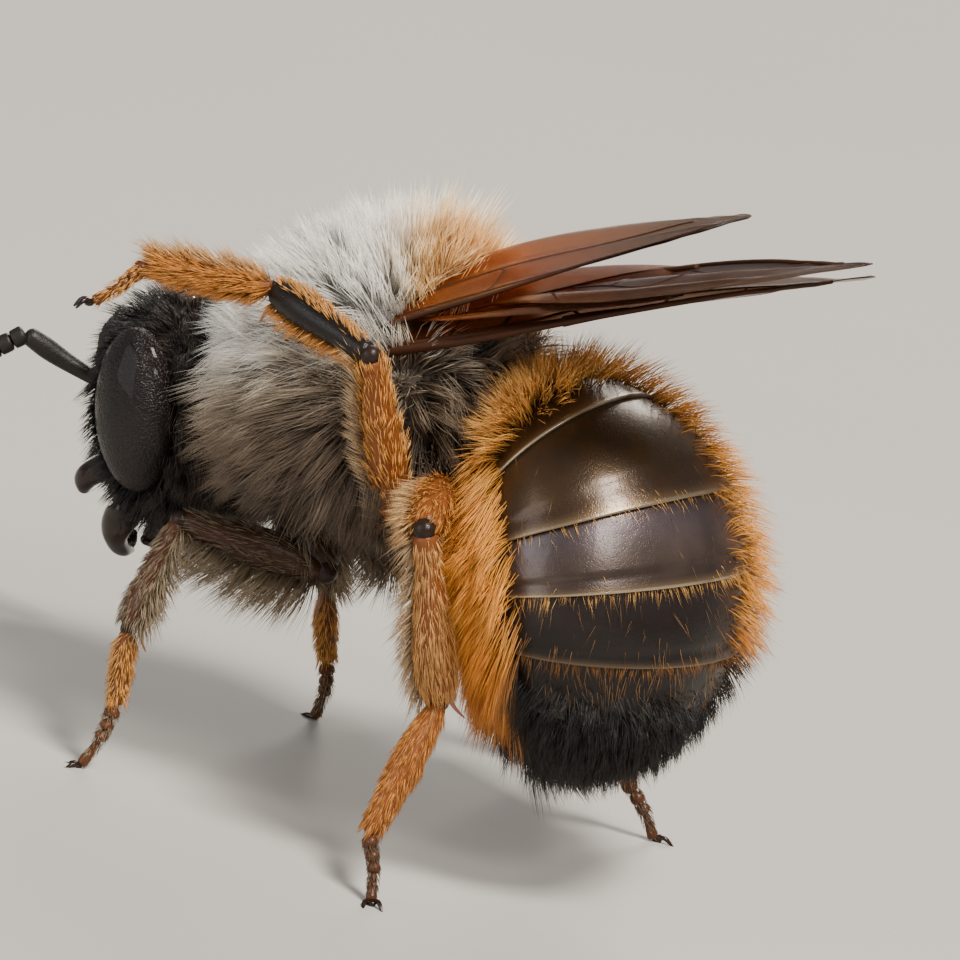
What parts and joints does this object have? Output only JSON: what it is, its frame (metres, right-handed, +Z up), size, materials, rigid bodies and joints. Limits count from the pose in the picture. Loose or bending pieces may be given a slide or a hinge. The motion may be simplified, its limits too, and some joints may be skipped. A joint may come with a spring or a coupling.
{
  "type": "mason bee model",
  "caption": "Still, life-size female mason bee: furry head and body, curled abdomen, folded wings and bent feelers, standing on its feet with one middle leg raised.",
  "frame": {"origin": "middle of the outline seen from above, at floor level under the standing feet", "axes": "+Z up from the floor, -Y the way the head points, +X the bee's left"},
  "size_m": [0.0088, 0.013, 0.01],
  "materials": {
    "pale_fur": "dense soft fur, off-white to tawny",
    "dark_fur": "dense black-brown fur",
    "bronze_shell": "glossy dark bronze shell under golden hair",
    "black_shell": "glossy black shell",
    "eye": "finely faceted gloss",
    "wing_membrane": "clear amber-brown film with dark veins",
    "leg_shell": "satin dark brown shell",
    "leg_fur": "shell under orange-brown hair"
  },
  "bodies": {
    "root": {"leg_front_left_femur": "leg_fur", "leg_front_left_tibia": "leg_fur", "leg_front_left_basitarsus": "leg_fur", "leg_front_left_foot": "leg_shell", "leg_front_right_femur": "leg_fur", "leg_front_right_tibia": "leg_fur", "leg_front_right_basitarsus": "leg_fur", "leg_front_right_foot": "leg_shell", "leg_middle_left_femur": "leg_fur", "leg_middle_left_tibia": "leg_fur", "leg_middle_left_basitarsus": "leg_fur", "leg_middle_left_foot": "leg_shell", "leg_middle_right_femur": "leg_fur", "leg_middle_right_tibia": "leg_fur", "leg_middle_right_basitarsus": "leg_fur", "leg_middle_right_foot": "leg_shell", "leg_hind_left_femur": "leg_fur", "leg_hind_left_tibia": "leg_fur", "leg_hind_left_basitarsus": "leg_fur", "leg_hind_left_foot": "leg_shell", "leg_hind_right_femur": "leg_fur", "leg_hind_right_tibia": "leg_fur", "leg_hind_right_basitarsus": "leg_fur", "leg_hind_right_foot": "leg_shell", "wing_fore_left": "wing_membrane", "wing_hind_left": "wing_membrane", "wing_fore_right": "wing_membrane", "wing_hind_right": "wing_membrane", "abdomen_1": "bronze_shell", "abdomen_2": "bronze_shell", "abdomen_3": "bronze_shell", "abdomen_4": "black_shell", "abdomen_5": "black_shell", "abdomen_6": "black_shell", "ocellus_middle": "eye", "ocellus_left": "eye", "ocellus_right": "eye", "eye_left": "eye", "antenna_left_flagellum": "black_shell", "antenna_left_scape": "black_shell", "mandible_left": "black_shell", "horn_left": "black_shell", "eye_right": "eye", "antenna_right_flagellum": "black_shell", "antenna_right_scape": "black_shell", "mandible_right": "black_shell", "horn_right": "black_shell", "head": "dark_fur", "tegula_left": "leg_shell", "tegula_right": "leg_shell", "thorax": "pale_fur"}
  },
  "joints": []
}
